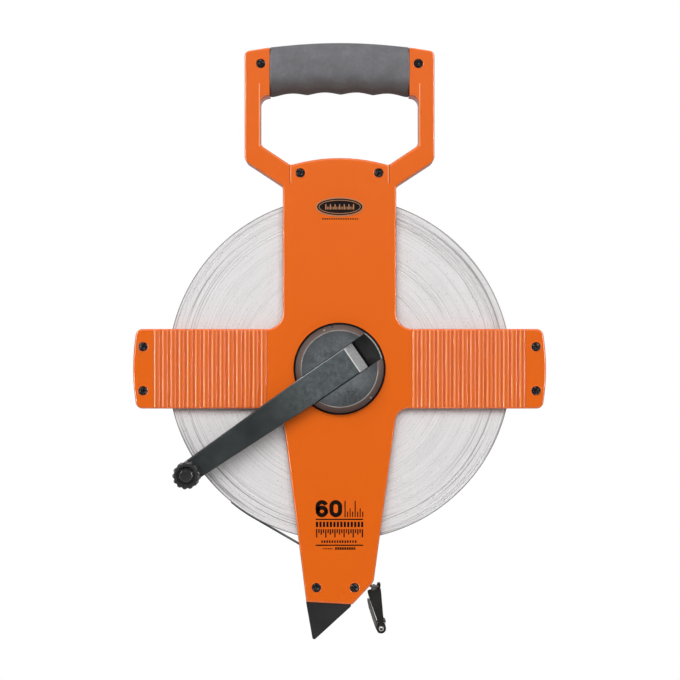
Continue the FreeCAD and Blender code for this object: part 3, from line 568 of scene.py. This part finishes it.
# Layers that stand proud of the roll's side or lie back in it: radius, middle angle, half span, height.
LOOSE_LAYERS = [
    (107.9, 48, 46, 0.55), (106.3, 40, 34, -0.9), (105.4, 52, 40, 0.50), (103.5, 44, 36, -0.8),
    (102.6, 50, 42, 0.45), (100.6, 46, 30, -0.7), (99.7, 46, 34, 0.40), (79.4, 46, 30, -0.5),
    (78.4, 48, 34, 0.30), (75.4, 44, 26, -0.5), (60.3, 46, 30, -0.5), (109.8, -44, 30, -0.6),
    (103.0, -52, 28, -0.7), (102.2, -50, 30, 0.30), (109.2, -138, 30, -0.7), (106.1, -130, 26, -0.5),
    (102.4, -140, 32, -0.7), (99.2, -134, 26, -0.5), (98.4, -134, 26, 0.25), (108.0, 138, 30, -0.5),
    (96.5, 132, 28, -0.4), (88.6, 140, 22, 0.25),
]


def layer_height(radius, degrees, waves):
    """How far the roll's side stands out at a point, in millimetres."""
    height = 0.0
    for phase, size in waves:
        height += size * math.sin(math.radians(degrees) * 2 + phase)
    for loose_r, middle, span, stand in LOOSE_LAYERS:
        if abs(radius - loose_r) < 0.42:
            away = abs((degrees - middle + 180) % 360 - 180) / span
            if away < 1:
                height += stand * math.cos(away * math.pi / 2) ** 0.7
    return height


def roll_side(side, rings, steps, rng):
    """Rings of points over one side of the roll, each ring set a little in or out at random."""
    made = []
    for i in range(rings + 1):
        radius = DRUM_R + (ROLL_R - DRUM_R) * i / rings
        drift = rng.gauss(0, 0.05)
        waves = [(rng.uniform(0, 6.28), rng.uniform(0, 0.05)) for _ in range(2)]
        ring = []
        for k in range(steps):
            degrees = 360 * k / steps
            stand = drift + layer_height(radius, degrees, waves) if 0 < i < rings else 0
            a = math.radians(degrees)
            ring.append(at(radius * math.cos(a), side * (ROLL_Y + stand), radius * math.sin(a)))
        made.append(ring)
    return made


def make_roll():
    rng = random.Random(7)
    front = roll_side(-1, ROLL_RINGS, ROLL_STEPS, rng)
    rear = roll_side(1, 60, ROLL_STEPS, rng)
    mesh = loft("tape_roll", front + list(reversed(rear)), closed=True)
    piece = add_piece("tape_roll", mesh, "spool", ["roll_edges", "tape_face"], ["blade_roll"])
    edge = (ROLL_R - 0.05) * MM
    for polygon in mesh.polygons:
        centre = polygon.center
        if math.hypot(centre.x, centre.z - AXIS_Z) > edge and abs(centre.y) < ROLL_Y * MM * 0.98:
            polygon.material_index = 1
    return piece


# ---- free blade ----
BLADE_ANGLE = math.radians(-30.1)
BLADE_LINE_R = 112.525
BLADE_HALF_T = 0.225
RUN_END = 40.0
WRAP = math.radians(9)


def blade_path(s):
    """The middle of the blade at s mm past the point where it leaves the roll, and its upward normal."""
    if s >= 0:
        turn = BLADE_ANGLE
        x = BLADE_LINE_R * math.sin(turn) + s * math.cos(turn)
        z = -BLADE_LINE_R * math.cos(turn) + s * math.sin(turn)
    else:
        turn = BLADE_ANGLE + s / BLADE_LINE_R
        x, z = BLADE_LINE_R * math.sin(turn), -BLADE_LINE_R * math.cos(turn)
    return x, z, -math.sin(turn), math.cos(turn)


def make_blade_run():
    """The blade leaving the roll, with thinned edges and its last turn round the roll."""
    stations = [-WRAP * BLADE_LINE_R * (1 - i / 16) for i in range(16)]
    stations += [RUN_END * i / 20 for i in range(21)]
    half = ROLL_Y
    across = [-half, -half + 0.12, -half * 0.6, 0, half * 0.6, half - 0.12, half]
    rings = []
    for s in stations:
        x, z, nx, nz = blade_path(s)
        thick = BLADE_HALF_T * min(1.0, 1 + s / (WRAP * BLADE_LINE_R) + 0.25)
        ring = []
        for side, order in ((1, across), (-1, across[::-1])):
            for y in order:
                rim = 0.5 if abs(y) == half else 1.0
                off = side * thick * rim
                ring.append(at(x + nx * off, y, z + nz * off))
        rings.append(ring)
    mesh = loft("blade_run_strip", rings)
    add_piece("blade_run_strip", mesh, "frame", ["blade_coating"], ["blade_run"], 40)


# ---- print on the leg, and the badge ----
PRINT_Y = SHELL_Y - 0.02
PRINT_THICK = 0.05


def arc(cx, cz, radius, start, end, steps=14):
    """Points along an arc, from start to end in degrees."""
    angles = [math.radians(start + (end - start) * i / steps) for i in range(steps + 1)]
    return [(cx + radius * math.cos(a), cz + radius * math.sin(a)) for a in angles]


def stroke(points, width, closed=False):
    """Four-cornered pieces that make up a line of the given width through the points."""
    count = len(points)
    edges = []
    for i, (x, z) in enumerate(points):
        before = points[i - 1] if closed or i else points[i]
        after = points[(i + 1) % count] if closed or i + 1 < count else points[i]
        dx, dz = after[0] - before[0], after[1] - before[1]
        size = math.hypot(dx, dz)
        nx, nz = -dz / size * width / 2, dx / size * width / 2
        edges.append(((x + nx, z + nz), (x - nx, z - nz)))
    pairs = list(zip(edges, edges[1:])) + ([(edges[-1], edges[0])] if closed else [])
    return [[a[1], b[1], b[0], a[0]] for a, b in pairs]


NUMERAL_H = 11.2
NUMERAL_W = 8.3
NUMERAL_STROKE = 2.7


def numeral_zero(x, z):
    """A plain upright oval."""
    r = 0.5 * (NUMERAL_W - NUMERAL_STROKE)
    cx, edge = x + NUMERAL_W / 2, NUMERAL_STROKE / 2 + r
    path = arc(cx, z + NUMERAL_H - edge, r, 0, 180) + arc(cx, z + edge, r, 180, 360)
    return stroke(path, NUMERAL_STROKE, closed=True)


def numeral_six(x, z):
    """A closed bowl with a stem that bends over at the top."""
    r = 0.5 * (NUMERAL_W - NUMERAL_STROKE)
    cx, edge = x + NUMERAL_W / 2, NUMERAL_STROKE / 2 + r
    bowl_top = z + 0.56 * NUMERAL_H - r
    bowl = arc(cx, bowl_top, r, 0, 180) + arc(cx, z + edge, r, 180, 360)
    stem = [(cx - r, bowl_top + 0.9)] + arc(cx, z + NUMERAL_H - edge, r, 180, 20)
    return stroke(bowl, NUMERAL_STROKE, closed=True) + stroke(stem, NUMERAL_STROKE)


def make_numeral():
    """A plain length numeral, as on any long tape."""
    shapes = numeral_six(-15.6, -96.5) + numeral_zero(-6.6, -96.5)
    mesh = plate("length_numeral", shapes, PRINT_Y, PRINT_THICK)
    add_piece("length_numeral", mesh, "frame", ["black_print"])


def graduations(x0, pitch, count, base, heights, width):
    """A row of ticks that stand on a line, or hang from it if their heights are negative."""
    shapes = []
    for i in range(count):
        x = x0 + i * pitch
        low, high = sorted((base, base + heights[i % len(heights)]))
        shapes.append(rectangle(x - width / 2, x + width / 2, low, high))
    return shapes


def leg_marks():
    """Rules and scales in place of wording."""
    shapes = [rectangle(-15.5, 15.3, -98.3, -97.5), rectangle(-15.5, 15.3, -115.1, -114.3)]
    shapes += graduations(3.6, 1.64, 8, -96.4, (10.6, 3.6, 5.6, 3.6), 0.72)
    shapes += graduations(-14.6, 2.255, 14, -102.9, (3.5,), 1.45)
    shapes += graduations(-14.85, 1.485, 21, -104.2, (-5.4, -2.6, -3.6, -2.6), 0.85)
    shapes += graduations(-11.4, 1.68, 14, -113.2, (1.7,), 1.0)
    shapes += graduations(-10.4, 1.1, 6, -117.4, (0.9,), 0.6)
    shapes += graduations(-2.3, 1.5, 9, -117.6, (1.6,), 1.15)
    return shapes


def make_print():
    make_numeral()
    mesh = plate("leg_scale_print", leg_marks(), PRINT_Y, PRINT_THICK)
    add_piece("leg_scale_print", mesh, "frame", ["black_print"])
    dots = [rectangle(-11.2 + i * 1.5, -10.4 + i * 1.5, 96.9, 97.9) for i in range(16)]
    mesh = plate("badge_rule_print", dots, PRINT_Y, PRINT_THICK)
    add_piece("badge_rule_print", mesh, "frame", ["black_print"])


def ring_band(name, cx, cz, outer, inner, y, thickness, count=96):
    """A thin oval band standing off a face."""
    rings = []
    for (half_x, half_z), depth in ((inner, 0), (inner, thickness), (outer, thickness), (outer, 0)):
        rings.append([at(x, y - depth, z) for x, z in ellipse(cx, cz, half_x, half_z, count)])
    return loft(name, rings, closed=True)


def make_badge():
    """A black oval with a pale line round it and a row of graduations across its middle."""
    low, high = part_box("oval_badge")
    cx = 0.5 * (low.x + high.x) / MM
    cz = (0.5 * (low.z + high.z) - AXIS_Z) / MM
    face_y = low.y / MM
    black = plate("badge_oval", [ellipse(cx, cz, 14.7, 5.4)], face_y, 0.12, 0.08)
    add_piece("badge_oval", black, "frame", ["badge_black"])
    line = ring_band("badge_outline", cx, cz, (13.6, 4.5), (13.25, 4.15), face_y - 0.12, 0.04)
    add_piece("badge_outline", line, "frame", ["badge_line"])
    shapes = []
    for i in range(19):
        x = cx - 9.0 + i
        half = 0.3 if i % 3 == 0 else 0.19
        tall = 1.7 if i % 3 == 0 else 0.9
        shapes.append(rectangle(x - half, x + half, cz - 1.7, cz - 1.7 + 2 * tall))
    add_piece("badge_ticks", plate("badge_ticks", shapes, face_y - 0.12, 0.04), "frame", ["badge_line"])


# ---- screw recess rims ----
SCREWS = [(x, z) for x in (-127.7, 127.7) for z in (-14.3, 14.3)]
SCREWS += [(-51.2, 198.4), (51.2, 198.4), (-25.5, 127.3), (25.5, 127.3), (-15.0, -142.3), (9.75, -142.3)]
RECESS_R = 3.05


def make_screw_rims():
    """The slightly raised edge round each screw's recess in the orange shell."""
    for i, (x, z) in enumerate(SCREWS):
        mesh = torus(f"screw_rim_{i}", x, SHELL_Y + 0.14, z, RECESS_R + 0.32, 0.32, 0.3)
        add_piece(f"screw_rim_{i}", mesh, "frame", ["orange_plastic"], smooth=60)


# ---- knob ----
KNOB_LOBES = 13


def lobed(radius, angle, depth):
    """A radius with rounded lobes between narrow valleys."""
    return radius - depth * (0.5 + 0.5 * math.cos(KNOB_LOBES * angle)) ** 1.6


def lathe(name, profile, x, z, steps):
    """A turned mesh about an axis along Y; the profile is radius, y and the depth of its lobes."""
    rings = []
    for radius, y, depth in profile:
        angles = [2 * math.pi * k / steps for k in range(steps)]
        radii = [lobed(radius, a, depth) for a in angles]
        rings.append([at(x + r * math.cos(a), y, z + r * math.sin(a)) for r, a in zip(radii, angles)])
    return loft(name, rings)


def make_knob():
    """The ribbed knob with rolled ends and a groove round its end cap."""
    low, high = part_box("crank_knob")
    x = 0.5 * (low.x + high.x) / MM
    z = (0.5 * (low.z + high.z) - AXIS_Z) / MM
    front, back = low.y / MM, high.y / MM
    radius = 0.5 * (high.x - low.x) / MM
    body = [(2.6, back, 0), (6.5, back, 0)]
    body += [(radius - 0.55, back - 0.25, 0.4), (radius - 0.12, back - 0.8, 0.75)]
    body += [(radius, back - 1.5, 0.85), (radius, front + 1.7, 0.85), (radius - 0.1, front + 1.0, 0.8)]
    body += [(radius - 0.4, front + 0.4, 0.6), (radius - 0.8, front + 0.08, 0.3), (radius - 1.3, front, 0)]
    body += [(6.1, front + 0.02, 0), (5.85, front + 0.3, 0), (5.75, front + 2.2, 0), (2.6, front + 2.2, 0)]
    mesh = lathe("ribbed_knob", body, x, z, KNOB_LOBES * 16)
    add_piece("ribbed_knob", mesh, "knob", ["knob_plastic"], ["crank_knob"], 40)
    cap = [(4.15, front + 2.2, 0), (4.2, front + 0.5, 0), (4.12, front + 0.2, 0), (3.9, front + 0.06, 0)]
    cap += [(3.65, front + 0.14, 0), (3.5, front + 0.4, 0), (3.2, front + 0.5, 0), (0.3, front + 0.44, 0)]
    mesh = lathe("knob_end_cap", cap, x, z, 96)
    add_piece("knob_end_cap", mesh, "knob", ["knob_plastic"], ["knob_cap"], 40)


# ---- hook's eyelet and the handle's fine lines ----
def make_eyelet():
    """The eyelet's blacked collar, its bare rolled rim and a thin dark sleeve in its bore, which is painted
    shade; the bore stays open.
    """
    low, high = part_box("claw_pin")
    x = 0.5 * (low.x + high.x) / MM
    z = (0.5 * (low.z + high.z) - AXIS_Z) / MM
    front = low.y / MM
    for name, y, radius, half_width, half_depth, material in (
            ("eyelet_collar", front + 0.02, 1.95, 0.36, 0.10, "hook_rubber"),
            ("eyelet_rim", front - 0.02, 1.32, 0.24, 0.18, "bare_steel")):
        mesh = torus(name, x, y, z, radius, half_width, half_depth)
        add_piece(name, mesh, "hook", [material], smooth=60)
    # A thin dark sleeve inside the bore: painted shade.
    wall = [(1.245, -6.5), (1.205, -6.5), (1.205, 6.5), (1.245, 6.5)]
    rings = [[at(px, y, pz) for px, pz in ellipse(x, z, r, r, 48)] for r, y in wall]
    mesh = loft("eyelet_bore_shade", rings, closed=True)
    add_piece("eyelet_bore_shade", mesh, "hook", ["hook_rubber"], smooth=40)


def make_handle_lines():
    """Painted highlight and shade on the handle: a pale and a dark line at each seam where its two struts run
    into the body, and a pale line for the light on the step beside the handle's window.
    """
    pale = [rectangle(x - 0.3, x + 0.3, 120.6, 132.6) for x in (-31.7, 31.7)]
    pale += [rectangle(x - 0.36, x + 0.36, 144.6, 185.5) for x in (-52.1, 52.1)]
    dark = [rectangle(x - 0.3, x + 0.3, 120.6, 132.6) for x in (-32.3, 32.3)]
    # Painted highlights on the seams and beside the window.
    mesh = plate("handle_highlights", pale, SHELL_Y + 0.1, 0.30, 0.08)
    add_piece("handle_highlights", mesh, "frame", ["pale_orange"])
    # Painted shade in the seams.
    mesh = plate("handle_crease_shade", dark, SHELL_Y + 0.1, 0.14)
    add_piece("handle_crease_shade", mesh, "frame", ["dark_orange"])


# ---- hub details ----
def bead(name, radius, y, start, end, thick, steps=72):
    """A thin round bead along an arc about the reel's axis, its ends tapered into the surface."""
    rings = []
    for i in range(steps + 1):
        a = start + (end - start) * i / steps
        size = thick * min(1.0, 0.15 + 6 * i / steps, 0.15 + 6 * (steps - i) / steps)
        ring = []
        for k in range(10):
            turn = 2 * math.pi * k / 10
            r = radius + size * math.cos(turn)
            ring.append(at(r * math.cos(a), y + size * math.sin(turn), r * math.sin(a)))
        rings.append(ring)
    return loft(name, rings)


def make_hub_beads():
    """The raised line inside the hub's bevel, on both sides of the slot, pale grey as a painted highlight."""
    reach = math.asin(9.9 / 25.2)
    for i, side in enumerate((0, math.pi)):
        start = SLOT_ANGLE + side + reach
        mesh = bead(f"hub_bead_{i}", 24.85, -21.0, start, start + math.pi - 2 * reach, 0.38)
        add_piece(f"hub_bead_{i}", mesh, "spool", ["hub_line"], smooth=60)


def make_hub_pips():
    """Two moulded witness pips on the hub's bevel."""
    made = bmesh.new()
    for x, z in ((-9.8, 24.8), (20.0, -18.6)):
        place = Matrix.Translation(at(x, -18.3, z)) @ Matrix.Diagonal((1, 0.8, 1, 1))
        bmesh.ops.create_uvsphere(made, u_segments=20, v_segments=10, radius=0.75 * MM, matrix=place)
    mesh = bpy.data.meshes.new("hub_pips")
    made.to_mesh(mesh)
    made.free()
    add_piece("hub_pips", mesh, "spool", ["hub_line"], smooth=60)


# ---- stage ----
def make_light(name, place, aim, width, height, power, diffuse=True, glossy=True):
    data = bpy.data.lights.new(name, "AREA")
    data.shape = "RECTANGLE"
    data.size, data.size_y = width, height
    data.energy = power
    data.spread = math.radians(100)
    light = bpy.data.objects.new(name, data)
    light.location = place
    light.rotation_euler = (Vector(aim) - Vector(place)).to_track_quat("-Z", "Y").to_euler()
    light.visible_diffuse, light.visible_glossy = diffuse, glossy
    bpy.context.scene.collection.objects.link(light)


def make_world():
    """White behind the object; a bright rear and top and a dim front to light it."""
    world = bpy.data.worlds.new("studio")
    bpy.context.scene.world = world
    world.use_nodes = True
    tree = world.node_tree
    tree.nodes.clear()
    output = tree.nodes.new("ShaderNodeOutputWorld")
    mix = tree.nodes.new("ShaderNodeMixShader")
    seen = tree.nodes.new("ShaderNodeBackground")
    around = tree.nodes.new("ShaderNodeBackground")
    direction = tree.nodes.new("ShaderNodeTexCoord")
    parts = tree.nodes.new("ShaderNodeSeparateXYZ")
    rear = tree.nodes.new("ShaderNodeMapRange")
    high = tree.nodes.new("ShaderNodeMapRange")
    low = tree.nodes.new("ShaderNodeMapRange")
    dimmed = tree.nodes.new("ShaderNodeMath")
    total = tree.nodes.new("ShaderNodeMath")
    rays = tree.nodes.new("ShaderNodeLightPath")
    seen.inputs["Strength"].default_value = 1.0
    seen.inputs["Color"].default_value = (1, 1, 1, 1)
    tree.links.new(direction.outputs["Generated"], parts.inputs["Vector"])
    tree.links.new(parts.outputs["Y"], rear.inputs["Value"])
    rear.inputs["From Min"].default_value = -0.3
    rear.inputs["From Max"].default_value = 0.3
    rear.inputs["To Min"].default_value = 0.10
    rear.inputs["To Max"].default_value = 0.6
    tree.links.new(parts.outputs["Z"], high.inputs["Value"])
    high.inputs["From Min"].default_value = 0.0
    high.inputs["From Max"].default_value = 1.0
    high.inputs["To Min"].default_value = 0.0
    high.inputs["To Max"].default_value = 0.2
    total.operation = "ADD"
    tree.links.new(parts.outputs["Z"], low.inputs["Value"])
    low.inputs["From Min"].default_value = -0.4
    low.inputs["From Max"].default_value = 0.1
    low.inputs["To Min"].default_value = 0.1
    low.inputs["To Max"].default_value = 1.0
    dimmed.operation = "MULTIPLY"
    tree.links.new(rear.outputs["Result"], dimmed.inputs[0])
    tree.links.new(low.outputs["Result"], dimmed.inputs[1])
    tree.links.new(dimmed.outputs["Value"], total.inputs[0])
    tree.links.new(high.outputs["Result"], total.inputs[1])
    tree.links.new(total.outputs["Value"], around.inputs["Strength"])
    tree.links.new(rays.outputs["Is Camera Ray"], mix.inputs["Fac"])
    tree.links.new(around.outputs["Background"], mix.inputs[1])
    tree.links.new(seen.outputs["Background"], mix.inputs[2])
    tree.links.new(mix.outputs["Shader"], output.inputs["Surface"])


def make_floor():
    """A pale round floor below the object, which hangs from a hand as in use."""
    made = bmesh.new()
    bmesh.ops.create_circle(made, cap_ends=True, segments=96, radius=1.4)
    mesh = bpy.data.meshes.new("floor")
    made.to_mesh(mesh)
    made.free()
    pale = Surface("pale_floor", (0.6, 0.6, 0.6), 0.8)
    pale.mottle(3, 0.99, 1.01)
    mesh.materials.append(pale.material)
    floor = bpy.data.objects.new("floor", mesh)
    floor.location.z = -0.69
    bpy.context.scene.collection.objects.link(floor)


def make_camera():
    data = bpy.data.cameras.new("camera")
    data.lens = 122.2
    data.sensor_width = 36
    data.clip_start, data.clip_end = 0.05, 30
    camera = bpy.data.objects.new("camera", data)
    camera.location = (0.0003, -1.512, -0.1763)
    camera.rotation_euler = (math.pi / 2, 0, 0)
    bpy.context.scene.collection.objects.link(camera)
    bpy.context.scene.camera = camera


def make_stage():
    middle = (0, 0, AXIS_Z)
    make_world()
    make_floor()
    make_camera()
    make_light("key", (-0.7, -1.5, 0.8), middle, 1.2, 1.0, 6.4, glossy=False)
    make_light("front", (0.5, -1.7, 0.6), middle, 1.8, 1.2, 8.4, glossy=False)
    make_light("left_strip", (-1.1, -0.75, AXIS_Z + 0.25), middle, 0.08, 1.2, 10, diffuse=False)
    make_light("right_strip", (1.1, -0.6, AXIS_Z + 0.35), middle, 0.10, 1.2, 8, diffuse=False)
    make_light("rear", (0.5, 1.7, 0.5), middle, 1.6, 1.2, 5.0, glossy=False)
    make_light("overhead", (0, -0.1, 1.1), middle, 1.2, 0.3, 1.0)
    bpy.context.scene.view_settings.view_transform = "Standard"


dress_cad_nodes()
make_grip()
make_roll()
make_blade_run()
make_print()
make_badge()
make_screw_rims()
make_knob()
make_hub_pips()
make_hub_beads()
make_eyelet()
make_handle_lines()
make_stage()
